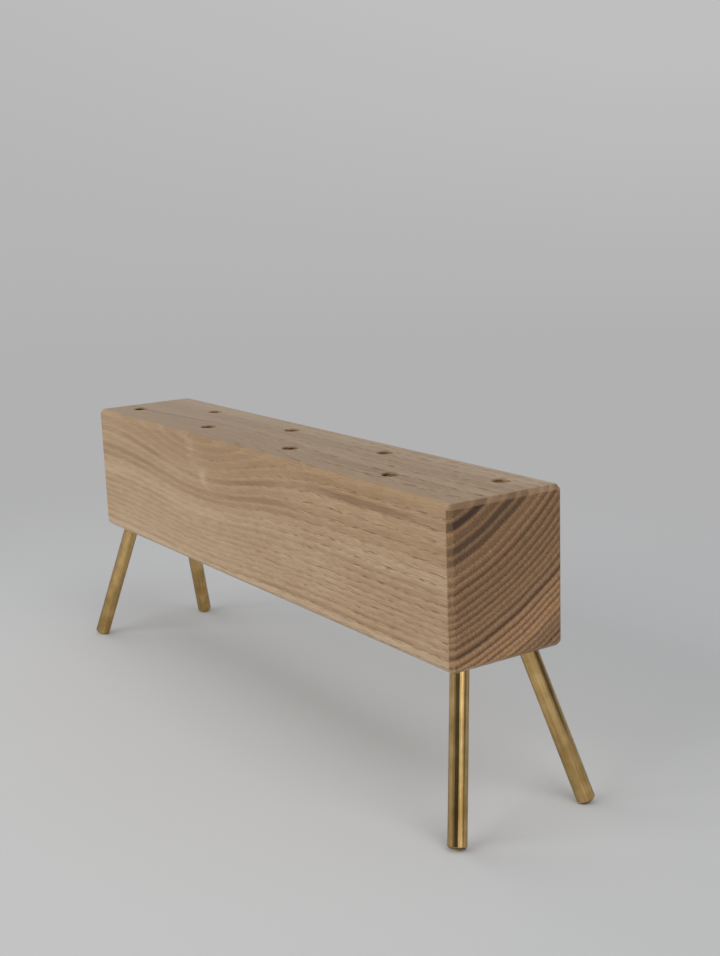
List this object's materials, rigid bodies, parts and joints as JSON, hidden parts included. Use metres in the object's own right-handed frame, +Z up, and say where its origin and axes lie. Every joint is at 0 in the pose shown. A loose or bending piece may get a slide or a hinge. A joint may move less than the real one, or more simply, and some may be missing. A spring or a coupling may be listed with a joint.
{
  "type": "stem vase",
  "caption": "Long chamfered wooden block on splayed brass rod legs, with a zigzag of narrow holes drilled in its top, each of which holds a single dried stem upright.",
  "frame": {"origin": "on the table, under the middle of the block", "axes": "+X along the block, +Y from the front face to the back face, +Z up"},
  "size_m": [0.267, 0.058, 0.104],
  "materials": {
    "wood": "sanded and oiled, matt",
    "brass": "drawn rod, satin polish"
  },
  "bodies": {
    "root": {"wood_block": "wood", "leg_front_left": "brass", "leg_front_right": "brass", "leg_back_left": "brass", "leg_back_right": "brass"}
  },
  "joints": []
}
